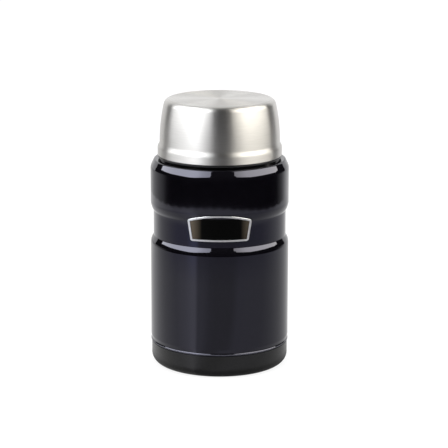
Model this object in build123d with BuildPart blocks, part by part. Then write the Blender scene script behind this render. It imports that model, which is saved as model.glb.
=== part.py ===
from build123d import *
from math import asin, degrees
import os

# Insulated food jar: a double-walled steel jar, an insulated screw stopper and a lid that is a bowl.
#
# Millimetres. The origin is the middle of the base, +Z is up and the badge faces -Y. Every piece but
# the badge and the getter is round about Z, so each one is a section drawn in the XZ plane (x is the
# radius) and turned a full turn. A sheet steel piece is one skin line, offset by its gauge.

os.makedirs("parts", exist_ok=True)

# ---- Clearances ----------------------------------------------------------------------------------
fit = 0.05  # pressed, glued and welded seats inside one body
running = 0.10  # a round seal on the piece that turns in it
seat_gap = 0.30  # the lid's seal above the jar's collar

# ---- Outer shell: deep-drawn steel, its lengths stacked from the base up -------------------------
body_diameter = 98.0
shell_gauge = 0.4
base_cup_height = 16.2
seam_gap = 0.6
lower_wall_length = 73.3
lower_shoulder_rise = 3.7
waist_length = 17.9
waist_depth = 2.0
flare_rise = 2.3
flare_inset = 0.8
band_edge_rise = 3.0
band_length = 26.1
shoulder_rise = 5.2
shoulder_inset = 2.5
shoulder_bend = 8.0
flare_bend = 8.0
band_edge_bend = 8.0
waist_bend = 0.8
lip_bend = 1.2
hem_bend = 0.5
hem_lip_height = 0.8  # the hem stands out below a shallow neck, which catches the light
hem_neck_depth = 0.5
hem_flare_rise = 0.9
hem_neck_rise = 2.4
hem_neck_bend = 1.0
neck_rise = 18.3

# ---- Base cup ------------------------------------------------------------------------------------
base_cup_wall = 0.5
base_cup_inset = 0.5
base_corner = 7.0
foot_width = 11.25
foot_slope = 1.5
base_recess = 1.2

# ---- Vacuum side: bottom plate, getter, sealing bead and foil ------------------------------------
plate_flange = 2.1
port_radius = 1.0
dimple_radius = 9.0
dimple_depth = 1.4
dimple_slope = 2.0
bead_radius = 2.8
bead_height = 1.0
getter_radius = 5.0
getter_height = 2.0
getter_offset = 24.0
foil_thickness = 0.15
foil_margin = 12.0
vacuum_gap = 2.6  # between the two walls at the waist, where they are nearest
bottom_gap = 3.9

# ---- Inner vessel --------------------------------------------------------------------------------
liner_gauge = 0.4
neck_gap = 0.5
liner_corner = 13.0
liner_shoulder_drop = 3.1
liner_shoulder_rise = 7.2
liner_shoulder_bend = 4.0
liner_neck_bend = 3.0

# ---- Neck collar ---------------------------------------------------------------------------------
collar_wall = 1.15
collar_height = 12.6
collar_flange_width = 2.8
collar_flange_height = 1.0
collar_chamfer = 0.6

# ---- Badge ---------------------------------------------------------------------------------------
badge_bottom_drop = 13.0  # from the top of the waist
badge_shoulder_rise = 14.9
badge_crown_rise = 3.7
badge_bottom_width = 40.0
badge_top_width = 44.6
badge_corner = 1.8
badge_rim_width = 1.4
badge_field_recess = 0.6
badge_edge_round = 0.35

# ---- Stopper -------------------------------------------------------------------------------------
plug_length = 29.5
plug_gap = 1.2  # room for the screw threads between plug and neck
plug_wall = 1.6
plug_corner = 2.5
gasket_seat = 0.10
gasket_height = 1.2
gasket_inset = 0.1
gasket_chamfer = 0.3
stopper_flange_overhang = 0.7
stopper_flange_height = 1.6
cap_inset = 1.3
cap_height = 8.2
cap_wall = 1.8
cap_round = 1.4
grip_flutes = 24
flute_radius = 2.6
flute_depth = 1.0
flute_foot = 1.2
dish_rim = 6.6
dish_depth = 1.8
dish_taper = 30.0

# ---- Lid: two steel bowls on a moulded thread ring -----------------------------------------------
lid_gauge = 0.4
lid_height = 39.4
lid_rim_inset = 5.1  # from the side of the jar
lid_rim_height = 4.8
lid_step_rise = 4.5
lid_step_inset = 1.45
lid_side_bow = 120.0
lid_corner = 4.5
lid_top_gap = 2.3
bowl_mouth_inset = 2.05
bowl_draft = 3.4
bowl_corner = 6.0
thread_gap = 1.4  # room for the screw threads between collar and thread ring
ring_wall = 2.65
ring_flange_height = 0.5
ring_flange_inset = 0.3
ring_rise = 10.1
ring_shoulder_drop = 1.0  # keeps its straight shoulder inside the swept step
seal_height = 1.2
seal_inset = 0.3
seal_key_width = 0.7
seal_key_height = 0.6
seal_key_inset = 1.0
seal_chamfer = 0.3

# ---- Radii and heights that follow from them -----------------------------------------------------
body_radius = body_diameter / 2
waist_radius = body_radius - waist_depth
cup_radius = body_radius - base_cup_inset
foot_inner_radius = cup_radius - foot_width
skirt_radius = cup_radius - base_cup_wall - fit
liner_radius = waist_radius - shell_gauge - vacuum_gap

lid_rim_radius = body_radius - lid_rim_inset
lid_wall_radius = lid_rim_radius - lid_step_inset
bowl_mouth_radius = lid_wall_radius - bowl_mouth_inset
bowl_floor_radius = bowl_mouth_radius - bowl_draft
ring_inset = lid_gauge + fit
ring_flange_radius = lid_rim_radius - ring_flange_inset
ring_bore = lid_rim_radius - ring_inset - ring_wall
seal_key_outer = ring_bore + seal_key_inset + seal_key_width

collar_radius = ring_bore - thread_gap
collar_bore = collar_radius - collar_wall
collar_flange_radius = collar_radius + collar_flange_width
neck_radius = collar_bore - fit
liner_neck_radius = neck_radius - shell_gauge - neck_gap
mouth_radius = liner_neck_radius - liner_gauge

plug_radius = mouth_radius - plug_gap
plug_bore = plug_radius - plug_wall
gasket_radius = neck_radius - gasket_inset
stopper_flange_radius = neck_radius + stopper_flange_overhang
cap_radius = stopper_flange_radius - cap_inset
dish_radius = cap_radius - dish_rim

seam_z = base_cup_height + seam_gap
hem_lip_z = seam_z + hem_lip_height
hem_neck_z = hem_lip_z + hem_flare_rise
lower_corner_z = seam_z + lower_wall_length
waist_bottom_z = lower_corner_z + lower_shoulder_rise
waist_top_z = waist_bottom_z + waist_length
flare_z = waist_top_z + flare_rise
band_edge_z = flare_z + band_edge_rise
shoulder_corner_z = band_edge_z + band_length
ledge_z = shoulder_corner_z + shoulder_rise
neck_top_z = ledge_z + neck_rise
mouth_z = neck_top_z + fit + liner_gauge

skirt_z = base_corner + fit
plate_z = skirt_z + plate_flange
dimple_z = plate_z + dimple_depth
liner_bottom_z = plate_z + shell_gauge + bottom_gap
liner_shoulder_top_z = ledge_z - liner_shoulder_drop
liner_shoulder_z = liner_shoulder_top_z - liner_shoulder_rise

gasket_z = mouth_z + gasket_seat
flange_z = gasket_z + gasket_height + running
plug_z = flange_z - plug_length
cap_z = flange_z + stopper_flange_height + fit
cap_top_z = cap_z + cap_height

collar_z = ledge_z + fit
seal_z = collar_z + collar_flange_height + seat_gap
seal_top_z = seal_z + seal_height
ring_z = seal_top_z + running
lid_z = ring_z + ring_flange_height + fit
lid_top_z = lid_z + lid_height
lid_rim_z = lid_z + lid_rim_height
lid_step_z = lid_rim_z + lid_step_rise
ring_top_z = ring_z + ring_flange_height + ring_rise
bowl_rim_z = ring_top_z + fit
bowl_floor_z = lid_top_z - lid_gauge - lid_top_gap - lid_gauge


def step_line(inset):
    """The swept step from the lid's rim up to its side, moved inwards by inset."""
    middle_z = (lid_rim_z + lid_step_z) / 2
    return Bezier(
        (lid_rim_radius - inset, lid_rim_z),
        (lid_rim_radius - inset, middle_z),
        (lid_wall_radius - inset, middle_z),
        (lid_wall_radius - inset, lid_step_z),
    )


def lid_skin(inset):
    """The lid's whole skin moved inwards by inset: its start at the rim and its end at the middle."""
    # The corner is tangent inside the side's large arc, so both arcs turn about one ray.
    side_rise = lid_top_z - lid_step_z
    side_turn = degrees(asin((side_rise - lid_corner) / (lid_side_bow - lid_corner)))
    rim = Line((lid_rim_radius - inset, lid_z), (lid_rim_radius - inset, lid_rim_z))
    step_line(inset)
    side = JernArc((lid_wall_radius - inset, lid_step_z), (0, 1), lid_side_bow - inset, side_turn)
    corner = JernArc(side @ 1, side % 1, lid_corner - inset, 90 - side_turn)
    top = Line(corner @ 1, (0, lid_top_z - inset))
    return rim @ 0, top @ 1


def badge_outline(inset):
    """The badge seen from the front, a keystone with a crowned top, moved inwards by inset."""
    bottom_z = waist_top_z - badge_bottom_drop
    shoulder_z = bottom_z + badge_shoulder_rise
    with BuildSketch(Plane.XZ) as outline:
        with BuildLine():
            left_bottom = (-badge_bottom_width / 2, bottom_z)
            right_bottom = (badge_bottom_width / 2, bottom_z)
            left_top = (-badge_top_width / 2, shoulder_z)
            right_top = (badge_top_width / 2, shoulder_z)
            Polyline(left_top, left_bottom, right_bottom, right_top)
            ThreePointArc(right_top, (0, shoulder_z + badge_crown_rise), left_top)
        make_face()
        fillet(outline.vertices(), radius=badge_corner)
        if inset:
            offset(amount=-inset, mode=Mode.REPLACE)
    return outline.sketch


# ---- Base cup: the pressed cup that covers the welded bottom and carries the jar -----------------
with BuildPart() as base_cup:
    with BuildSketch(Plane.XZ):
        with BuildLine():
            Polyline((0, base_recess), (foot_inner_radius - foot_slope, base_recess), (foot_inner_radius, 0))
            FilletPolyline(
                (foot_inner_radius, 0), (cup_radius, 0), (cup_radius, base_cup_height), radius=base_corner
            )
            offset(amount=base_cup_wall, side=Side.LEFT)
        make_face()
    revolve(axis=Axis.Z)

# ---- Outer shell: skirt, lower body, waist, band, shoulder and neck in one wall ------------------
shell_corners = [
    ((body_radius, seam_z), hem_bend),
    ((body_radius, hem_lip_z), hem_bend),
    ((body_radius - hem_neck_depth, hem_neck_z), hem_neck_bend),
    ((body_radius, hem_neck_z + hem_neck_rise), hem_neck_bend),
    ((body_radius, lower_corner_z), shoulder_bend),
    ((waist_radius, waist_bottom_z), waist_bend),
    ((waist_radius, waist_top_z), waist_bend),
    ((body_radius - flare_inset, flare_z), flare_bend),
    ((body_radius, band_edge_z), band_edge_bend),
    ((body_radius, shoulder_corner_z), shoulder_bend),
    ((body_radius - shoulder_inset, ledge_z), lip_bend),
]
with BuildPart() as outer_shell:
    with BuildSketch(Plane.XZ):
        with BuildLine():
            Line((skirt_radius, skirt_z), (skirt_radius, seam_z))
            FilletPolyline(
                (skirt_radius, seam_z),
                *[corner for corner, bend in shell_corners],
                (neck_radius, ledge_z),
                radius=[bend for corner, bend in shell_corners],
            )
            Line((neck_radius, ledge_z), (neck_radius, neck_top_z))
            offset(amount=shell_gauge, side=Side.LEFT)
        make_face()
    revolve(axis=Axis.Z)

# ---- Vacuum bottom: the welded plate, with the port that the air is drawn out through ------------
plate_radius = skirt_radius - shell_gauge - fit - shell_gauge
with BuildPart() as vacuum_bottom:
    with BuildSketch(Plane.XZ):
        with BuildLine():
            Polyline(
                (port_radius, dimple_z),
                (dimple_radius - dimple_slope, dimple_z),
                (dimple_radius, plate_z),
                (plate_radius, plate_z),
                (plate_radius, skirt_z),
            )
            offset(amount=shell_gauge, side=Side.LEFT)
        make_face()
    revolve(axis=Axis.Z)

# ---- Sealing bead: solder run into the port from below -------------------------------------------
with BuildPart() as sealing_bead:
    with BuildSketch(Plane.XZ):
        with BuildLine():
            Polyline(
                (0, dimple_z - bead_height),
                (0, dimple_z + shell_gauge),
                (port_radius - fit, dimple_z + shell_gauge),
                (port_radius - fit, dimple_z - fit),
                (bead_radius, dimple_z - fit),
            )
            TangentArc((0, dimple_z - bead_height), (bead_radius, dimple_z - fit), tangent=(1, 0))
        make_face()
    revolve(axis=Axis.Z)

# ---- Getter pellet: soaks up gas that is left between the walls ----------------------------------
with BuildPart() as getter_pellet:
    with BuildSketch(Plane.XY.offset(plate_z + shell_gauge + fit)):
        with Locations((getter_offset, 0)):
            Circle(getter_radius)
    extrude(amount=getter_height)
    fillet(getter_pellet.faces().sort_by(Axis.Z)[-1].edges(), radius=getter_height / 4)

# ---- Inner vessel: the food liner, its neck and the rolled mouth ---------------------------------
with BuildPart() as inner_vessel:
    with BuildSketch(Plane.XZ):
        with BuildLine():
            FilletPolyline(
                (0, liner_bottom_z),
                (liner_radius, liner_bottom_z),
                (liner_radius, liner_shoulder_z),
                (liner_neck_radius, liner_shoulder_top_z),
                (liner_neck_radius, neck_top_z + fit),
                radius=[liner_corner, liner_shoulder_bend, liner_neck_bend],
            )
            Line((liner_neck_radius, neck_top_z + fit), (neck_radius, neck_top_z + fit))
            offset(amount=liner_gauge, side=Side.LEFT)
        make_face()
    revolve(axis=Axis.Z)

# ---- Radiation foil: bright foil round the liner, inside the vacuum ------------------------------
with BuildPart() as radiation_foil:
    with BuildSketch(Plane.XY.offset(liner_bottom_z + foil_margin)):
        Circle(liner_radius + fit + foil_thickness)
        Circle(liner_radius + fit, mode=Mode.SUBTRACT)
    extrude(amount=liner_shoulder_z - liner_bottom_z - 2 * foil_margin)

# ---- Neck collar: moulded ring that the lid screws down on ---------------------------------------
with BuildPart() as neck_collar:
    with BuildSketch(Plane.XZ):
        with BuildLine():
            Polyline(
                (collar_bore + collar_chamfer, collar_z),
                (collar_flange_radius, collar_z),
                (collar_flange_radius, collar_z + collar_flange_height),
                (collar_radius, collar_z + collar_flange_height),
                (collar_radius, collar_z + collar_height - collar_chamfer),
                (collar_radius - collar_chamfer, collar_z + collar_height),
                (collar_bore, collar_z + collar_height),
                (collar_bore, collar_z + collar_chamfer),
                close=True,
            )
        make_face()
    revolve(axis=Axis.Z)

# ---- Badge: a bright moulded frame and a dark field, both bent round the waist -------------------
with BuildPart() as shell_form:
    with BuildSketch(Plane.XZ):
        with BuildLine():
            FilletPolyline(
                (waist_radius, waist_bottom_z),
                *[corner for corner, bend in shell_corners[6:10]],
                (body_radius - shoulder_inset, ledge_z),
                radius=[bend for corner, bend in shell_corners[6:10]],
            )
            Polyline(
                (body_radius - shoulder_inset, ledge_z),
                (0, ledge_z),
                (0, waist_bottom_z),
                (waist_radius, waist_bottom_z),
            )
        make_face()
    revolve(axis=Axis.Z)
    offset(amount=fit, kind=Kind.INTERSECTION)

with BuildPart() as badge_frame:
    add(extrude(badge_outline(0), amount=body_radius))
    add(extrude(badge_outline(badge_rim_width), amount=body_radius), mode=Mode.SUBTRACT)
    with BuildSketch(Plane.XY.offset(waist_bottom_z)):
        Circle(body_radius)
    extrude(amount=ledge_z - waist_bottom_z, mode=Mode.INTERSECT)
    front = badge_frame.faces().filter_by(GeomType.CYLINDER).sort_by(SortBy.AREA)[-1]
    fillet(front.edges(), radius=badge_edge_round)
    add(shell_form.part, mode=Mode.SUBTRACT)

with BuildPart() as badge_field:
    add(extrude(badge_outline(badge_rim_width + fit), amount=body_radius))
    with BuildSketch(Plane.XY.offset(waist_bottom_z)):
        Circle(body_radius - badge_field_recess)
    extrude(amount=ledge_z - waist_bottom_z, mode=Mode.INTERSECT)
    add(shell_form.part, mode=Mode.SUBTRACT)

# ---- Stopper: a moulded plug with a fluted cap, filled with foam, on its own gasket --------------
with BuildPart() as stopper_gasket:
    with BuildSketch(Plane.XY.offset(gasket_z)):
        Circle(gasket_radius)
        Circle(plug_radius + running, mode=Mode.SUBTRACT)
    extrude(amount=gasket_height)
    outer_edges = stopper_gasket.edges().filter_by(GeomType.CIRCLE).group_by(SortBy.RADIUS)[-1]
    chamfer(outer_edges, length=gasket_chamfer)

with BuildPart() as stopper_body:
    with BuildSketch(Plane.XZ):
        with BuildLine():
            FilletPolyline((0, plug_z), (plug_radius, plug_z), (plug_radius, flange_z), radius=plug_corner)
            Polyline(
                (plug_radius, flange_z),
                (stopper_flange_radius, flange_z),
                (stopper_flange_radius, flange_z + stopper_flange_height),
                (plug_bore, flange_z + stopper_flange_height),
                (plug_bore, plug_z + plug_wall),
                (0, plug_z + plug_wall),
                (0, plug_z),
            )
        make_face()
    revolve(axis=Axis.Z)

with BuildPart() as stopper_top:
    with BuildSketch(Plane.XY.offset(cap_z)):
        Circle(cap_radius)
    extrude(amount=cap_height)
    fillet(stopper_top.faces().sort_by(Axis.Z)[-1].edges(), radius=cap_round)
    with BuildSketch(Plane.XY.offset(cap_top_z)):
        Circle(dish_radius)
    extrude(amount=-dish_depth, taper=dish_taper, mode=Mode.SUBTRACT)
    with BuildSketch(Plane.XY.offset(cap_z)):
        Circle(plug_bore)
    extrude(amount=cap_height - dish_depth - cap_wall, mode=Mode.SUBTRACT)
    with BuildSketch(Plane.XY.offset(cap_z + flute_foot)):
        with PolarLocations(cap_radius + flute_radius - flute_depth, grip_flutes):
            Circle(flute_radius)
    extrude(amount=cap_height, mode=Mode.SUBTRACT)

with BuildPart() as stopper_foam:
    with BuildSketch(Plane.XY.offset(plug_z + plug_wall + fit)):
        Circle(plug_bore - fit)
    extrude(amount=cap_top_z - dish_depth - cap_wall - plug_z - plug_wall - 2 * fit)

# ---- Lid seal: soft ring under the thread ring, keyed into it, that lands on the collar ----------
with BuildPart() as lid_seal_ring:
    with BuildSketch(Plane.XZ) as seal_section:
        with BuildLine():
            Polyline(
                (ring_bore + seal_inset, seal_z),
                (ring_flange_radius, seal_z),
                (ring_flange_radius, seal_top_z),
                (seal_key_outer, seal_top_z),
                (seal_key_outer, seal_top_z + seal_key_height),
                (seal_key_outer - seal_key_width, seal_top_z + seal_key_height),
                (seal_key_outer - seal_key_width, seal_top_z),
                (ring_bore + seal_inset, seal_top_z),
                close=True,
            )
        make_face()
        chamfer(seal_section.vertices().group_by(Axis.X)[-1], length=seal_chamfer)
    revolve(axis=Axis.Z)

# ---- Lid thread ring: moulded ring inside the rim, which joins the two bowls ---------------------
with BuildPart() as lid_thread_ring:
    groove_z = seal_top_z + seal_key_height + running
    with BuildSketch(Plane.XZ):
        with BuildLine():
            Polyline(
                (ring_bore, ring_top_z),
                (ring_bore, ring_z),
                (seal_key_outer - seal_key_width - running, ring_z),
                (seal_key_outer - seal_key_width - running, groove_z),
                (seal_key_outer + running, groove_z),
                (seal_key_outer + running, ring_z),
                (ring_flange_radius, ring_z),
                (ring_flange_radius, ring_z + ring_flange_height),
                (lid_rim_radius - ring_inset, ring_z + ring_flange_height),
                (lid_rim_radius - ring_inset, lid_rim_z - ring_shoulder_drop),
                (lid_wall_radius - ring_inset, lid_step_z - ring_shoulder_drop),
                (lid_wall_radius - ring_inset, ring_top_z),
                (ring_bore, ring_top_z),
            )
        make_face()
    revolve(axis=Axis.Z)

# ---- Lid outer bowl: rim, swept step, bowed side and flat top of brushed steel -------------------
with BuildPart() as lid_outer_bowl:
    with BuildSketch(Plane.XZ):
        with BuildLine():
            outer_rim, outer_middle = lid_skin(0)
            inner_rim, inner_middle = lid_skin(lid_gauge)
            Line(outer_rim, inner_rim)
            Line(outer_middle, inner_middle)
        make_face()
    revolve(axis=Axis.Z)

# ---- Lid inner bowl: the food side of the lid, its rim turned out over the thread ring -----------
with BuildPart() as lid_inner_bowl:
    with BuildSketch(Plane.XZ):
        with BuildLine():
            FilletPolyline(
                (0, bowl_floor_z),
                (bowl_floor_radius, bowl_floor_z),
                (bowl_mouth_radius, bowl_rim_z),
                radius=bowl_corner,
            )
            Line((bowl_mouth_radius, bowl_rim_z), (lid_wall_radius - lid_gauge - 2 * fit, bowl_rim_z))
            offset(amount=lid_gauge, side=Side.LEFT)
        make_face()
    revolve(axis=Axis.Z)

# ---- One file for each piece ---------------------------------------------------------------------
pieces = {
    "outer_shell": outer_shell,
    "inner_vessel": inner_vessel,
    "radiation_foil": radiation_foil,
    "vacuum_bottom": vacuum_bottom,
    "getter_pellet": getter_pellet,
    "sealing_bead": sealing_bead,
    "base_cup": base_cup,
    "neck_collar": neck_collar,
    "badge_frame": badge_frame,
    "badge_field": badge_field,
    "stopper_gasket": stopper_gasket,
    "stopper_body": stopper_body,
    "stopper_top": stopper_top,
    "stopper_foam": stopper_foam,
    "lid_seal_ring": lid_seal_ring,
    "lid_thread_ring": lid_thread_ring,
    "lid_outer_bowl": lid_outer_bowl,
    "lid_inner_bowl": lid_inner_bowl,
}
for label, piece in pieces.items():
    piece.part.label = label
    export_step(piece.part, f"parts/{label}.step")
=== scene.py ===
"""Insulated food jar: its finishes, its screw threads and the studio it stands in."""

from math import atan2, cos, pi, radians, sin

import bpy
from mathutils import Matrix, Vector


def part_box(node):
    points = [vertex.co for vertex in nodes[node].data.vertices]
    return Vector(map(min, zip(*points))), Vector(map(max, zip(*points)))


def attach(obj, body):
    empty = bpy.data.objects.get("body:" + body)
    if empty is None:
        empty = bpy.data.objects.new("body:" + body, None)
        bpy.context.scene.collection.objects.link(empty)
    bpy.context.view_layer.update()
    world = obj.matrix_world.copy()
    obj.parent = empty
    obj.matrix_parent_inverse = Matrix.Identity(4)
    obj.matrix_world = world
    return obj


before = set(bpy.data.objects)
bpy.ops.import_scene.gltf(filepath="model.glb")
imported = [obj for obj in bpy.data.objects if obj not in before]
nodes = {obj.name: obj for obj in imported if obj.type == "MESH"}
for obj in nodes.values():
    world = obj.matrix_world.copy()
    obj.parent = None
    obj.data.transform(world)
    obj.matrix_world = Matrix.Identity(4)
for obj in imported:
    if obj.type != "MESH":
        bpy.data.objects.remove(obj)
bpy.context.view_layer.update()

MM = 0.001

# ---- Inner vessel --------------------------------------------------------------------------------
# The food liner: deep-drawn 304 stainless steel, spun to shape and electropolished, so it is bright
# and soft, with faint rings round the axis left by the spinning tool.


def linear(code):
    """An sRGB hex colour as linear red, green, blue and alpha."""
    channels = [int(code[i:i + 2], 16) / 255 for i in (1, 3, 5)]
    return (*[c / 12.92 if c <= 0.04045 else ((c + 0.055) / 1.055) ** 2.4 for c in channels], 1)


def add(tree, kind, inputs=None, **settings):
    """Adds a node. Settings are its properties, and inputs are its sockets: each a value or a source."""
    node = tree.nodes.new(kind)
    for name, value in settings.items():
        setattr(node, name, value)
    for name, value in (inputs or {}).items():
        if isinstance(value, bpy.types.NodeSocket):
            tree.links.new(value, node.inputs[name])
        else:
            node.inputs[name].default_value = value
    return node


def material(name):
    """An empty material: the material, its tree and its surface shader."""
    made = bpy.data.materials.new(name)
    made.use_nodes = True
    tree = made.node_tree
    return made, tree, tree.nodes["Principled BSDF"]


def turned_lines(tree, spacing, streak):
    """Fine lines round the Z axis, as a tool or a brush leaves them on a turned piece.

    Spacing is the distance from line to line, in metres, measured along the section, and streak is
    the number of times that a line changes on its way round.
    """
    place = add(tree, "ShaderNodeTexCoord").outputs["Object"]
    flat = add(tree, "ShaderNodeVectorMath", {0: place, 1: (1, 1, 0)}, operation="MULTIPLY").outputs[0]
    radius = add(tree, "ShaderNodeVectorMath", {0: flat}, operation="LENGTH").outputs["Value"]
    height = add(tree, "ShaderNodeSeparateXYZ", {0: place}).outputs["Z"]
    along = add(tree, "ShaderNodeMath", {0: height, 1: radius}, operation="SUBTRACT").outputs[0]
    across = add(tree, "ShaderNodeMath", {0: along, 1: 1 / spacing}, operation="MULTIPLY").outputs[0]
    around = add(tree, "ShaderNodeVectorMath", {0: flat}, operation="NORMALIZE").outputs[0]
    spread = add(tree, "ShaderNodeVectorMath", {0: around, "Scale": streak}, operation="SCALE").outputs[0]
    step = add(tree, "ShaderNodeCombineXYZ", {"Z": across}).outputs[0]
    where = add(tree, "ShaderNodeVectorMath", {0: spread, 1: step}, operation="ADD").outputs[0]
    return add(tree, "ShaderNodeTexNoise", {"Vector": where, "Scale": 1.0, "Detail": 2.0}).outputs["Fac"]


def varied(tree, shader, pattern, dark, pale, smooth, rough):
    """Lets a 0 to 1 pattern carry a finish's colour from dark to pale and its roughness with it."""
    colour = add(tree, "ShaderNodeMix", {0: pattern, 6: linear(dark), 7: linear(pale)}, data_type="RGBA")
    tree.links.new(colour.outputs[2], shader.inputs["Base Color"])
    roughness = add(tree, "ShaderNodeMapRange", {"Value": pattern, "To Min": smooth, "To Max": rough})
    tree.links.new(roughness.outputs[0], shader.inputs["Roughness"])


def turned_steel(name, dark, pale, smooth, rough, spacing, streak, anisotropy, depth):
    """Stainless steel with turned lines: its reflections stretch across the lines."""
    made, tree, shader = material(name)
    lines = turned_lines(tree, spacing, streak)
    varied(tree, shader, lines, dark, pale, smooth, rough)
    shader.inputs["Metallic"].default_value = 1
    shader.inputs["Anisotropic"].default_value = anisotropy
    shader.inputs["Anisotropic Rotation"].default_value = 0.25
    tangent = add(tree, "ShaderNodeTangent", direction_type="RADIAL", axis="Z")
    tree.links.new(tangent.outputs[0], shader.inputs["Tangent"])
    bump = add(tree, "ShaderNodeBump", {"Height": lines, "Strength": 1.0, "Distance": depth})
    tree.links.new(bump.outputs[0], shader.inputs["Normal"])
    return made


# Real tool lines and brushing are a tenth of a millimetre apart or less, too fine to show, so all
# turned lines here are drawn coarser.
spun_steel = turned_steel(
    "spun_stainless_steel", dark="#c2bfba", pale="#d2cfca", smooth=0.20, rough=0.30,
    spacing=0.9 * MM, streak=3, anisotropy=0.5, depth=0.002 * MM,
)


def finish_node(name, made):
    """Gives a carried-over piece its real finish."""
    for slot in nodes[name].material_slots:
        slot.material = made


finish_node("inner_vessel", spun_steel)

# ---- Radiation foil, vacuum bottom, getter and sealing bead --------------------------------------
# What the vacuum needs, all inside the walls: bright aluminium foil round the liner, a pressed steel
# plate, a dull zirconium getter and the glassy brazing bead that closes the port.
aluminium_foil, tree, shader = material("bright_aluminium_foil")
creases_per_metre = 90
crease_depth = 0.1 * MM
shader.inputs["Metallic"].default_value = 1
place = add(tree, "ShaderNodeTexCoord").outputs["Object"]
creases = add(
    tree, "ShaderNodeTexVoronoi", {"Vector": place, "Scale": creases_per_metre}, feature="DISTANCE_TO_EDGE"
).outputs["Distance"]
varied(tree, shader, creases, dark="#c9cbcd", pale="#e6e7e8", smooth=0.14, rough=0.22)
bump = add(tree, "ShaderNodeBump", {"Height": creases, "Distance": crease_depth})
tree.links.new(bump.outputs[0], shader.inputs["Normal"])
finish_node("radiation_foil", aluminium_foil)

pressed_steel = turned_steel(
    "pressed_stainless_steel", dark="#aeaba6", pale="#c4c1bc", smooth=0.30, rough=0.45,
    spacing=1.4 * MM, streak=6, anisotropy=0.0, depth=0.003 * MM,
)
finish_node("vacuum_bottom", pressed_steel)


def speckled(name, dark, pale, smooth, rough, grain, depth, metallic=0.0):
    """A finish with a fine grain, such as a textured moulding or sintered metal. Grain is in metres."""
    made, tree, shader = material(name)
    place = add(tree, "ShaderNodeTexCoord").outputs["Object"]
    grains = add(tree, "ShaderNodeTexNoise", {
        "Vector": place, "Scale": 1 / grain, "Detail": 3.0,
    }).outputs["Fac"]
    varied(tree, shader, grains, dark, pale, smooth, rough)
    shader.inputs["Metallic"].default_value = metallic
    bump = add(tree, "ShaderNodeBump", {"Height": grains, "Distance": depth})
    tree.links.new(bump.outputs[0], shader.inputs["Normal"])
    return made


# The grain of a sintered metal or of a mould's texture is too fine to show, so it is drawn coarser.
sintered_getter = speckled(
    "sintered_zirconium", dark="#4b4945", pale="#6f6d69", smooth=0.6, rough=0.8,
    grain=0.4 * MM, depth=0.05 * MM, metallic=1.0,
)
finish_node("getter_pellet", sintered_getter)
brazed_bead = speckled(
    "brazing_bead", dark="#8d887b", pale="#b9b4a6", smooth=0.2, rough=0.35,
    grain=0.8 * MM, depth=0.02 * MM, metallic=1.0,
)
finish_node("sealing_bead", brazed_bead)

# ---- Outer shell ---------------------------------------------------------------------------------
# Deep-drawn stainless steel under a thick midnight blue lacquer. It is nearly black, and the fine
# pigment tints its sharp reflections blue, except where they graze the edge.
midnight_lacquer, tree, shader = material("midnight_blue_lacquer")
place = add(tree, "ShaderNodeTexCoord").outputs["Object"]
orange_peel_size = 6 * MM
orange_peel_depth = 0.0015 * MM
peel = add(tree, "ShaderNodeTexNoise", {
    "Vector": place, "Scale": 1 / orange_peel_size, "Detail": 1.0,
}).outputs["Fac"]
varied(tree, shader, peel, dark="#060508", pale="#09080c", smooth=0.03, rough=0.05)
shader.inputs["Specular IOR Level"].default_value = 0.66
shader.inputs["Specular Tint"].default_value = linear("#ebebff")
# On the sharp hem a line of the lacquer is painted paler, a painted highlight, and it is duller there,
# where the lacquer draws thin.
hem_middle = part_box("base_cup")[1][2] + 1.2 * MM
hem_half_width = 0.4 * MM
# The hem's paler colour is a painted highlight.
hem_highlight_colour = linear("#3a3a42")
hem_roughness = (0.35, 0.35, 0.35, 1)
height = add(tree, "ShaderNodeSeparateXYZ", {0: place}).outputs["Z"]
hem = add(tree, "ShaderNodeMath", {0: height, 1: hem_middle, 2: hem_half_width}, operation="COMPARE")
for socket, hem_highlight_and_dullness in (("Base Color", hem_highlight_colour), ("Roughness", hem_roughness)):
    plain = shader.inputs[socket].links[0].from_socket
    edged = add(tree, "ShaderNodeMix", {0: hem.outputs[0], 6: plain, 7: hem_highlight_and_dullness}, data_type="RGBA")
    tree.links.new(edged.outputs[2], shader.inputs[socket])
bump = add(tree, "ShaderNodeBump", {"Height": peel, "Distance": orange_peel_depth})
tree.links.new(bump.outputs[0], shader.inputs["Normal"])
finish_node("outer_shell", midnight_lacquer)

# ---- Base cup ------------------------------------------------------------------------------------
# A pressed cup in a satin black powder coat, duller than the shell above it, glued over its skirt.
satin_coat = speckled(
    "satin_black_powder_coat", dark="#0d0d0d", pale="#121212", smooth=0.22, rough=0.30,
    grain=0.5 * MM, depth=0.005 * MM,
)
finish_node("base_cup", satin_coat)

# ---- Neck collar ---------------------------------------------------------------------------------
# Black polypropylene from a polished mould, pressed over the steel neck. Its gloss keeps it black in
# the gap under the lid, and its right-handed thread takes the lid.
polished_moulding = speckled(
    "polished_black_polypropylene", dark="#060606", pale="#0b0b0b", smooth=0.10, rough=0.16,
    grain=0.5 * MM, depth=0.001 * MM,
)
finish_node("neck_collar", polished_moulding)


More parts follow.
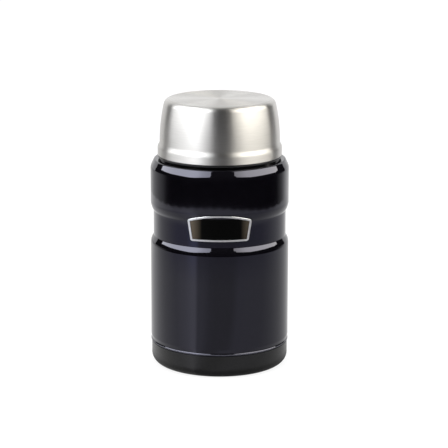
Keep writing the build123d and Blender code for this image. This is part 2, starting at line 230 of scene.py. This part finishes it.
def thread_tree():
    """Geometry nodes that run a ridge up a right-handed helix, fading at both ends."""
    crest_share = 0.45  # of the ridge's width
    fade_share = 0.06  # of the thread's length, at each end
    tip_size = 0.05  # of the ridge's section
    tree = bpy.data.node_groups.new("screw_thread", "GeometryNodeTree")
    sizes = (
        ("Radius", "NodeSocketFloat"), ("Start Height", "NodeSocketFloat"), ("Pitch", "NodeSocketFloat"),
        ("Turns", "NodeSocketFloat"), ("Ridge Width", "NodeSocketFloat"),
        ("Ridge Depth", "NodeSocketFloat"), ("Start Angle", "NodeSocketFloat"),
        ("Section Turn", "NodeSocketFloat"), ("Starts", "NodeSocketInt"),
        ("Finish", "NodeSocketMaterial"),
    )
    for name, kind in sizes:
        tree.interface.new_socket(name, in_out="INPUT", socket_type=kind)
    tree.interface.new_socket("Thread", in_out="OUTPUT", socket_type="NodeSocketGeometry")
    given = add(tree, "NodeGroupInput").outputs
    rise = add(tree, "ShaderNodeMath", {0: given["Pitch"], 1: given["Turns"]}, operation="MULTIPLY")
    helix = add(tree, "GeometryNodeCurveSpiral", {
        "Resolution": 96, "Rotations": given["Turns"], "Start Radius": given["Radius"],
        "End Radius": given["Radius"], "Height": rise.outputs[0],
    }).outputs[0]
    upright = add(tree, "GeometryNodeSetCurveNormal", {"Curve": helix}, mode="Z_UP").outputs[0]
    along = add(tree, "GeometryNodeSplineParameter").outputs["Factor"]
    from_end = add(tree, "ShaderNodeMath", {0: 1.0, 1: along}, operation="SUBTRACT").outputs[0]
    nearest = add(tree, "ShaderNodeMath", {0: along, 1: from_end}, operation="MINIMUM").outputs[0]
    fade = add(tree, "ShaderNodeMapRange", {
        "Value": nearest, "From Max": fade_share, "To Min": tip_size,
    }).outputs[0]
    crest = add(tree, "ShaderNodeMath", {0: given["Ridge Width"], 1: crest_share}, operation="MULTIPLY")
    section = add(tree, "GeometryNodeCurvePrimitiveQuadrilateral", {
        "Bottom Width": given["Ridge Width"], "Top Width": crest.outputs[0],
        "Height": given["Ridge Depth"], "Offset": 0.0,
    }, mode="TRAPEZOID")
    facing = add(tree, "ShaderNodeCombineXYZ", {"Z": given["Section Turn"]}).outputs[0]
    turned = add(tree, "GeometryNodeTransform", {
        "Geometry": section.outputs[0], "Rotation": facing,
    }).outputs[0]
    ridge = add(tree, "GeometryNodeCurveToMesh", {
        "Curve": upright, "Profile Curve": turned, "Scale": fade, "Fill Caps": True,
    }).outputs[0]
    height = add(tree, "ShaderNodeCombineXYZ", {"Z": given["Start Height"]}).outputs[0]
    heading = add(tree, "ShaderNodeCombineXYZ", {"Z": given["Start Angle"]}).outputs[0]
    placed = add(tree, "GeometryNodeTransform", {
        "Geometry": ridge, "Translation": height, "Rotation": heading,
    }).outputs[0]
    points = add(tree, "GeometryNodePoints", {"Count": given["Starts"]}).outputs[0]
    number = add(tree, "GeometryNodeInputIndex").outputs[0]
    share = add(tree, "ShaderNodeMath", {0: number, 1: given["Starts"]}, operation="DIVIDE").outputs[0]
    angle = add(tree, "ShaderNodeMath", {0: share, 1: 2 * pi}, operation="MULTIPLY").outputs[0]
    turn = add(tree, "ShaderNodeCombineXYZ", {"Z": angle}).outputs[0]
    copies = add(tree, "GeometryNodeInstanceOnPoints", {
        "Points": points, "Instance": placed, "Rotation": turn,
    }).outputs[0]
    realized = add(tree, "GeometryNodeRealizeInstances", {0: copies}).outputs[0]
    finished = add(tree, "GeometryNodeSetMaterial", {
        "Geometry": realized, "Material": given["Finish"],
    }).outputs[0]
    add(tree, "NodeGroupOutput", {"Thread": finished})
    return tree


screw_thread = thread_tree()
thread_pitch = 4.0 * MM
thread_turns = 1.5
ridge_width = 1.6 * MM
moulded_ridge_depth = 1.1 * MM


def thread(name, finish, body, foot, crest, depth, outside):
    """A thread's ridge as a plain mesh that rides on a body, its foot buried in the wall it stands on.

    Foot is the height where it starts and crest the radius that it reaches. An inside thread starts
    half a turn on, so it lies between the turns of its partner.
    """
    piece = bpy.data.objects.new(name, bpy.data.meshes.new(name))
    bpy.context.scene.collection.objects.link(piece)
    grower = piece.modifiers.new("thread", "NODES")
    grower.node_group = screw_thread
    outwards = 1 if outside else -1
    sizes = {
        "Radius": crest - outwards * depth / 2,
        "Start Height": foot,
        "Pitch": thread_pitch,
        "Turns": thread_turns,
        "Ridge Width": ridge_width,
        "Ridge Depth": depth,
        "Start Angle": 0.0 if outside else pi,
        "Section Turn": outwards * pi / 2,
        "Starts": 1,
        "Finish": finish,
    }
    for item in screw_thread.interface.items_tree:
        if item.in_out == "INPUT":
            grower[item.identifier] = sizes[item.name]
    grown = piece.evaluated_get(bpy.context.evaluated_depsgraph_get())
    mesh = bpy.data.meshes.new_from_object(grown)
    piece.modifiers.clear()
    piece.data = mesh
    mesh.name = name
    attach(piece, body)


collar_radius = 39.4 * MM
lid_crest_radius = collar_radius + 0.65 * MM
lid_thread_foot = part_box("neck_collar")[0][2] + 4.25 * MM
thread(
    "collar_thread", polished_moulding, "jar",
    foot=lid_thread_foot, crest=lid_crest_radius, depth=moulded_ridge_depth, outside=True,
)

# ---- Badge ---------------------------------------------------------------------------------------
# A satin chromed frame round a satin field, moulded in one curve with the waist. The field is bare
# smoked metal, black; towards both ends it is painted bronze, a painted reflection.
chrome_trim = speckled(
    "satin_chrome_trim", dark="#f0f0f1", pale="#f9f9f9", smooth=0.40, rough=0.46,
    grain=1.2 * MM, depth=0.004 * MM, metallic=1.0,
)
# The frame's rounded edges are painted near black, a painted shade, so only the flat crest of the frame is
# bright.
body_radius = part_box("outer_shell")[1][0]
edge_radius = body_radius - 0.15 * MM
crest_radius = body_radius - 0.05 * MM
tree = chrome_trim.node_tree
shader = tree.nodes["Principled BSDF"]
place = add(tree, "ShaderNodeTexCoord").outputs["Object"]
flat = add(tree, "ShaderNodeVectorMath", {0: place, 1: (1, 1, 0)}, operation="MULTIPLY").outputs[0]
radius = add(tree, "ShaderNodeVectorMath", {0: flat}, operation="LENGTH").outputs["Value"]
crest = add(tree, "ShaderNodeMapRange", {
    "Value": radius, "From Min": edge_radius, "From Max": crest_radius,
})
# Painted shade on the frame's rounded edges.
painted_edge_shade = linear("#1c1c1d")
chrome = shader.inputs["Base Color"].links[0].from_socket
edged = add(tree, "ShaderNodeMix", {0: crest.outputs[0], 6: painted_edge_shade, 7: chrome}, data_type="RGBA")
tree.links.new(edged.outputs[2], shader.inputs["Base Color"])
finish_node("badge_frame", chrome_trim)

smoked_field, tree, shader = material("smoked_satin_metal")
strokes_per_metre = (60, 60, 2500)  # long level strokes, drawn 0.4 mm high so that they show
badge_middle = 1.2 * MM
black_half_width = 13.5 * MM
reflection_half_width = 20.5 * MM
place = add(tree, "ShaderNodeTexCoord").outputs["Object"]
stretch = add(tree, "ShaderNodeMapping", {"Vector": place, "Scale": strokes_per_metre}).outputs[0]
strokes = add(tree, "ShaderNodeTexNoise", {"Vector": stretch, "Scale": 1.0}).outputs["Fac"]
varied(tree, shader, strokes, dark="#050505", pale="#0a0a09", smooth=0.30, rough=0.40)
side = add(tree, "ShaderNodeSeparateXYZ", {0: place}).outputs["X"]
middle = add(tree, "ShaderNodeMath", {0: side, 1: badge_middle}, operation="SUBTRACT").outputs[0]
outwards = add(tree, "ShaderNodeMath", {0: middle}, operation="ABSOLUTE").outputs[0]
# Towards both ends the field is painted bronze, a painted reflection.
reflection_share = add(tree, "ShaderNodeMapRange", {
    "Value": outwards, "From Min": black_half_width, "From Max": reflection_half_width,
})
painted_bronze_reflection = linear("#6e6455")
black = shader.inputs["Base Color"].links[0].from_socket
field = add(tree, "ShaderNodeMix", {0: reflection_share.outputs[0], 6: black, 7: painted_bronze_reflection}, data_type="RGBA")
tree.links.new(field.outputs[2], shader.inputs["Base Color"])
shader.inputs["Metallic"].default_value = 0.7
shader.inputs["Specular IOR Level"].default_value = 0.2
finish_node("badge_field", smoked_field)

# ---- Stopper -------------------------------------------------------------------------------------
# Two black polypropylene mouldings welded round a foam core, with a fluted grip. The plug's thread
# runs in the thread rolled into the steel neck.
black_moulding = speckled(
    "black_polypropylene", dark="#101011", pale="#161617", smooth=0.42, rough=0.55,
    grain=0.5 * MM, depth=0.01 * MM,
)
finish_node("stopper_body", black_moulding)
finish_node("stopper_top", black_moulding)
white_foam = speckled(
    "expanded_polystyrene", dark="#dddcd6", pale="#f0efea", smooth=0.8, rough=0.95,
    grain=3 * MM, depth=0.2 * MM,
)
finish_node("stopper_foam", white_foam)
grey_silicone = speckled(
    "grey_silicone", dark="#7f7f7c", pale="#8d8d8a", smooth=0.45, rough=0.6,
    grain=1.5 * MM, depth=0.01 * MM,
)
finish_node("stopper_gasket", grey_silicone)

plug_radius = 35.7 * MM
stopper_crest_radius = plug_radius + 0.55 * MM
stopper_thread_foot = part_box("stopper_body")[0][2] + 13.05 * MM
thread(
    "stopper_thread", black_moulding, "stopper",
    foot=stopper_thread_foot, crest=stopper_crest_radius, depth=moulded_ridge_depth, outside=True,
)
# A thread's crest just clears its partner's, so the piece also lifts and turns freely.
crest_clearance = 0.1 * MM
rolled_ridge_depth = 0.9 * MM
thread(
    "neck_thread", spun_steel, "jar", foot=stopper_thread_foot,
    crest=stopper_crest_radius + crest_clearance, depth=rolled_ridge_depth, outside=False,
)

# ---- Lid -----------------------------------------------------------------------------------------
# Two 304 stainless steel bowls, snapped on a black thread ring. The outer bowl is brushed round its
# axis, so its side shows upright bands of light and its top shows fans from the middle. The inner
# one is spun, as the food liner is.
brushed_steel = turned_steel(
    "circular_brushed_stainless_steel", dark="#c0beba", pale="#cfcdca", smooth=0.42, rough=0.46,
    spacing=0.8 * MM, streak=4, anisotropy=0.95, depth=0.002 * MM,
)
# The brushing is coarser towards the rim, and the top is turned finer than the side.
lid_foot, lid_top = (corner[2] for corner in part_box("lid_outer_bowl"))
side_height = 30 * MM
side_fineness = 0.85
top_edge = lid_top - 1.5 * MM
top_face = lid_top - 0.2 * MM
top_fineness = 0.7
tree = brushed_steel.node_tree
shader = tree.nodes["Principled BSDF"]
place = add(tree, "ShaderNodeTexCoord").outputs["Object"]
height = add(tree, "ShaderNodeSeparateXYZ", {0: place}).outputs["Z"]
coarser = add(tree, "ShaderNodeMapRange", {
    "Value": height, "From Min": lid_foot, "From Max": lid_foot + side_height,
    "To Min": 1.0, "To Max": side_fineness,
})
finer = add(tree, "ShaderNodeMapRange", {
    "Value": height, "From Min": top_edge, "From Max": top_face, "To Min": 1.0, "To Max": top_fineness,
})
change = add(tree, "ShaderNodeMath", {0: coarser.outputs[0], 1: finer.outputs[0]}, operation="MULTIPLY")
plain = shader.inputs["Roughness"].links[0].from_socket
roughness = add(tree, "ShaderNodeMath", {0: plain, 1: change.outputs[0]}, operation="MULTIPLY")
tree.links.new(roughness.outputs[0], shader.inputs["Roughness"])
finish_node("lid_outer_bowl", brushed_steel)
finish_node("lid_inner_bowl", spun_steel)
finish_node("lid_thread_ring", black_moulding)
thread(
    "lid_thread", black_moulding, "lid", foot=lid_thread_foot,
    crest=lid_crest_radius + crest_clearance, depth=moulded_ridge_depth, outside=False,
)
# The seal's slight sheen draws a thin grey line under the rim.
black_silicone = speckled(
    "black_silicone", dark="#0a0a0a", pale="#0e0e0e", smooth=0.30, rough=0.38,
    grain=1.5 * MM, depth=0.01 * MM,
)
shader = black_silicone.node_tree.nodes["Principled BSDF"]
shader.inputs["Specular IOR Level"].default_value = 0.9
finish_node("lid_seal_ring", black_silicone)

# ---- Floor ---------------------------------------------------------------------------------------
# A white studio sweep. What the camera sees of it is white, and it keeps the jar's shadow.


def seen_directly(tree):
    """1 where the camera, a reflection or glass sees a thing, and 0 where it only lights others."""
    path = add(tree, "ShaderNodeLightPath").outputs
    seen = path["Is Camera Ray"]
    for ray in ("Is Glossy Ray", "Is Transmission Ray"):
        seen = add(tree, "ShaderNodeMath", {0: seen, 1: path[ray]}, operation="MAXIMUM").outputs[0]
    return seen


floor_width = 6
bpy.ops.mesh.primitive_plane_add(size=floor_width)
floor = bpy.context.object
floor.name = "floor"
floor_white, tree, shader = material("white_sweep")
shader.inputs["Base Color"].default_value = linear("#ebebeb")
shader.inputs["Roughness"].default_value = 0.9
shade_colour = linear("#888888")
table_white = 0.84
seen = seen_directly(tree)
shaded = add(tree, "ShaderNodeBsdfDiffuse", {"Color": shade_colour})
lit = add(tree, "ShaderNodeEmission", {"Color": (1, 1, 1, 1), "Strength": table_white})
bright = add(tree, "ShaderNodeAddShader", {0: shaded.outputs[0], 1: lit.outputs[0]})
surface = add(tree, "ShaderNodeMixShader", {0: seen, 1: shader.outputs[0], 2: bright.outputs[0]})
tree.links.new(surface.outputs[0], tree.nodes["Material Output"].inputs["Surface"])
floor.data.materials.append(floor_white)

# ---- Light ---------------------------------------------------------------------------------------
# Two tall soft boxes stand left and right of a white table in a dark room, with the white sweep
# behind. The cards show only in reflections, and a lamp near each soft box lights what is matt.
world = bpy.data.worlds.new("studio")
bpy.context.scene.world = world
world.use_nodes = True
tree = world.node_tree
tree.nodes.clear()
ambient_level = 0.75
strength = add(tree, "ShaderNodeMapRange", {
    "Value": seen_directly(tree), "To Min": ambient_level, "To Max": 1.0,
})
sky = add(tree, "ShaderNodeBackground", {"Color": (1, 1, 1, 1), "Strength": strength.outputs[0]})
add(tree, "ShaderNodeOutputWorld", {"Surface": sky.outputs[0]})


def glow(name, level, colour=(1, 1, 1, 1)):
    """A material that only gives light: the material, its tree and its emission node."""
    made, tree, shader = material(name)
    tree.nodes.remove(shader)
    light = add(tree, "ShaderNodeEmission", {"Color": colour, "Strength": level})
    tree.links.new(light.outputs[0], tree.nodes["Material Output"].inputs["Surface"])
    return made, tree, light


def card(name, faces, finish):
    """A studio card, from the corners of its faces, that only reflections see."""
    mesh = bpy.data.meshes.new(name)
    corners = [corner for face in faces for corner in face]
    mesh.from_pydata(corners, [], [range(4 * i, 4 * i + 4) for i in range(len(faces))])
    mesh.materials.append(finish)
    piece = bpy.data.objects.new(name, mesh)
    bpy.context.scene.collection.objects.link(piece)
    piece.visible_camera = False
    piece.visible_diffuse = False
    piece.visible_transmission = False
    piece.visible_volume_scatter = False
    piece.visible_shadow = False
    return piece


def at(azimuth, distance, height):
    """A place in the studio: azimuth in degrees to the right of the camera's side, sizes in metres."""
    turn = radians(azimuth)
    return (distance * sin(turn), -distance * cos(turn), height)


def upright(columns, distance):
    """The faces of an upright card, from columns of its foot's azimuth and height and its head's."""
    feet = [at(turn, distance, height) for turn, height, _, _ in columns]
    heads = [at(turn, distance, height) for _, _, turn, height in columns]
    return list(zip(feet, feet[1:], heads[1:], heads))


def stepped(first, last, steps):
    """Azimuths from first to last in equal steps."""
    return [first + (last - first) * i / steps for i in range(steps + 1)]


def level(first, last, near, far, height):
    """The faces of a level ring card between two azimuths and two distances."""
    turns = stepped(first, last, 24)
    return [
        (at(a, near, height), at(a, far, height), at(b, far, height), at(b, near, height))
        for a, b in zip(turns, turns[1:])
    ]


# The room is dark but not black, and a little paler towards its ceiling.
room_distance = 2.0
room_height = 3.0
floor_reach = 2.4
inner_edge = 0.01
dimmest_height = 0.5
palest_height = 2.0
dimmest_level = 0.02
palest_level = 0.05
darkness, tree, light = glow("darkness", 0.0)
place = add(tree, "ShaderNodeTexCoord").outputs["Object"]
height = add(tree, "ShaderNodeSeparateXYZ", {0: place}).outputs["Z"]
dim = add(tree, "ShaderNodeMapRange", {
    "Value": height, "From Min": dimmest_height, "From Max": palest_height,
    "To Min": dimmest_level, "To Max": palest_level,
})
tree.links.new(dim.outputs[0], light.inputs["Strength"])
room_columns = [(turn, 0.0, turn, room_height) for turn in stepped(-133, 136, 32)]
card("dark_room", upright(room_columns, room_distance), darkness)
card("dark_ceiling", level(-150, 150, inner_edge, floor_reach, room_height), darkness)


def round_levels(tree, stops, middle=(0, 0)):
    """A colour that changes with the azimuth about a middle, from stops of degrees and colour."""
    place = add(tree, "ShaderNodeTexCoord").outputs["Object"]
    turned = add(tree, "ShaderNodeMapping", {
        "Vector": place, "Rotation": (0, 0, radians(90)), "Location": (middle[1], -middle[0], 0),
    })
    azimuth = add(tree, "ShaderNodeTexGradient", {"Vector": turned.outputs[0]}, gradient_type="RADIAL")
    levels = add(tree, "ShaderNodeValToRGB", {0: azimuth.outputs["Fac"]})
    ramp = levels.color_ramp
    while len(ramp.elements) > 1:
        ramp.elements.remove(ramp.elements[-1])
    ramp.elements[0].position = 0.5 + stops[0][0] / 360
    ramp.elements[0].color = stops[0][1]
    for turn, colour in stops[1:]:
        ramp.elements.new(0.5 + turn / 360).color = colour
    return levels.outputs[0]


def soft_light(name, tint, shares):
    """A soft box's light: its tint, and its share of the full level at some azimuths."""
    made, tree, light = glow(name, soft_box_level)
    red, green, blue, _ = linear(tint)
    stops = [(turn, (share * red, share * green, share * blue, 1)) for turn, share in shares]
    tree.links.new(round_levels(tree, stops), light.inputs["Color"])
    return made


# Each soft box is brightest in its middle, and its near lower corner is folded back. The left one
# is cool and the right one warm.
soft_box_level = 7.3
soft_box_distance = 1.2
left_columns = (
    (-116, 0.44, -115, 0.85), (-106, 0.43, -106, 1.7), (-94, 0.46, -95, 1.8), (-75, 0.5, -76, 2.1),
    (-58, 0.46, -57, 2.18), (-50, 0.44, -49, 2.2), (-42, 0.48, -41, 2.2), (-30, 0.63, -28, 2.18),
    (-17, 0.75, -15, 2.1),
)
left_soft_light = soft_light("left_soft_light", "#fafcff", (
    (-115, 0.75), (-104, 0.80), (-82, 0.88), (-71, 0.93), (-51, 1.0), (-41, 0.96), (-32, 0.76),
    (-20, 0.62),
))
card("left_soft_box", upright(left_columns, soft_box_distance), left_soft_light)
right_columns = (
    (29, 0.72, 23, 2.0), (40, 0.61, 38, 2.03), (52, 0.5, 51, 2.03), (66, 0.5, 67, 2.0),
    (80, 0.48, 82, 1.9), (96, 0.44, 97, 1.85), (106, 0.38, 105, 1.75), (115, 0.46, 114, 0.85),
)
right_soft_light = soft_light("right_soft_light", "#fffcf4", (
    (23, 0.47), (31, 0.53), (40, 0.66), (49, 0.80), (69, 0.85), (92, 0.80), (105, 0.72), (115, 0.66),
))
card("right_soft_box", upright(right_columns, soft_box_distance), right_soft_light)


def shades(*stops):
    """Stops of degrees and colour, from stops of degrees and sRGB hex."""
    return [(turn, linear(code)) for turn, code in stops]


# The round glossy table carries the soft boxes' sheen to the jar's lower wall, brightest beside the
# left one, dimmer towards its rim in front and in the jar's own shadow. Past its edge the floor is
# dark in front and white behind.
table_radius = 0.594
table_squeeze = 0.965
table_shift = -0.006
table_height = 0.0005
sheen_middle = (-0.019, -0.045)
table_sheen, tree, light = glow("table_sheen", 1.0)
near_sheen = round_levels(tree, shades(
    (-133, "#f0f0f0"), (-106, "#d4d4d4"), (-80, "#c9c9cd"), (-60, "#e2e2e8"), (-47, "#f8f8ff"),
    (-41, "#f8f8ff"), (-35, "#c0c0c6"), (-25, "#bbbbc1"), (-13, "#a6a6aa"), (0, "#a0a0a2"),
    (27, "#a0a0a2"), (38, "#b4b4ba"), (55, "#b6b6bb"), (80, "#b0b0b4"), (93, "#b9b9bb"),
    (115, "#cccccc"), (143, "#eeeeee"),
), sheen_middle)
far_sheen = round_levels(tree, shades(
    (-143, "#ffffff"), (-123, "#d3d3d5"), (-106, "#c1c1c6"), (-80, "#a4a4ba"), (-60, "#acacc4"),
    (-47, "#ccd0f8"), (-41, "#ccd0f8"), (-35, "#9191a4"), (0, "#838390"), (30, "#838390"),
    (36, "#888899"), (80, "#9393a2"), (93, "#a6a6b0"), (104, "#b8b8be"), (120, "#cccccf"),
    (156, "#ffffff"),
), sheen_middle)
rim_sheen = round_levels(tree, shades(
    (-143, "#ffffff"), (-106, "#e6e6e8"), (-80, "#d6d6dc"), (-52, "#f8f8ff"), (-35, "#d2d2da"),
    (0, "#cacad0"), (36, "#cacad0"), (93, "#c8c8ce"), (120, "#e0e0e2"), (156, "#ffffff"),
), sheen_middle)
place = add(tree, "ShaderNodeTexCoord").outputs["Object"]
distance = add(tree, "ShaderNodeVectorMath", {0: place}, operation="LENGTH").outputs["Value"]
sheen = near_sheen
for further, start, end in ((far_sheen, 0.30, 0.44), (rim_sheen, 0.50, 0.52)):
    share = add(tree, "ShaderNodeMapRange", {"Value": distance, "From Min": start, "From Max": end})
    mixed = add(tree, "ShaderNodeMix", {0: share.outputs[0], 6: sheen, 7: further}, data_type="RGBA")
    sheen = mixed.outputs[2]
tree.links.new(sheen, light.inputs["Color"])
shadow_reach = 17 * MM
shadow_level = 0.35
clear = add(tree, "ShaderNodeMapRange", {
    "Value": distance, "From Min": body_radius, "From Max": body_radius + shadow_reach,
    "To Min": shadow_level, "To Max": 1.0,
})
tree.links.new(clear.outputs[0], light.inputs["Strength"])
table = card("table", level(-180, 180, inner_edge, table_radius, table_height), table_sheen)
outer_sheen, tree, light = glow("outer_floor_sheen", 1.0)
outer_levels = round_levels(tree, shades(
    (-180, "#ffffff"), (-150, "#e6e6e6"), (-137, "#d0d0d0"), (-121, "#b8b8b8"), (-106, "#979797"),
    (-95, "#404040"), (-85, "#000000"), (85, "#000000"), (95, "#101010"), (106, "#303030"),
    (121, "#989898"), (137, "#f8f8f8"), (150, "#ffffff"), (180, "#ffffff"),
))
tree.links.new(outer_levels, light.inputs["Color"])
outer_floor = card("outer_floor", level(-180, 180, table_radius, floor_reach, table_height), outer_sheen)
for piece in (table, outer_floor):
    for vertex in piece.data.vertices:
        vertex.co.x = vertex.co.x * table_squeeze + table_shift

lamp_distance = 1.5
lamp_height = 1.2
lamp_dip = 35
for name, azimuth, power in (("left_lamp", -50, 14), ("right_lamp", 55, 12)):
    lamp = bpy.data.lights.new(name, "AREA")
    lamp.shape = "RECTANGLE"
    lamp.size = 0.9
    lamp.size_y = 1.2
    lamp.energy = power
    stand = bpy.data.objects.new(name, lamp)
    stand.location = at(azimuth, lamp_distance, lamp_height)
    facing = atan2(stand.location.y, stand.location.x) + pi / 2
    stand.rotation_euler = (radians(90 - lamp_dip), 0, facing)
    stand.visible_glossy = False
    bpy.context.scene.collection.objects.link(stand)

# ---- Camera --------------------------------------------------------------------------------------
# A long lens 1.4 m in front of the jar and 0.4 m up, looking down at it by 13 degrees.
lens = bpy.data.cameras.new("camera")
lens.sensor_width = 36
lens.lens = 163.78
lens.clip_start = 0.05
camera_dip = 13.118
camera_roll = -0.12
camera = bpy.data.objects.new("camera", lens)
camera.location = (2.39 * MM, -1412.9 * MM, 429.5 * MM)
camera.rotation_euler = (radians(90 - camera_dip), radians(camera_roll), 0)
bpy.context.scene.collection.objects.link(camera)
bpy.context.scene.camera = camera
bpy.context.scene.view_settings.view_transform = "Standard"
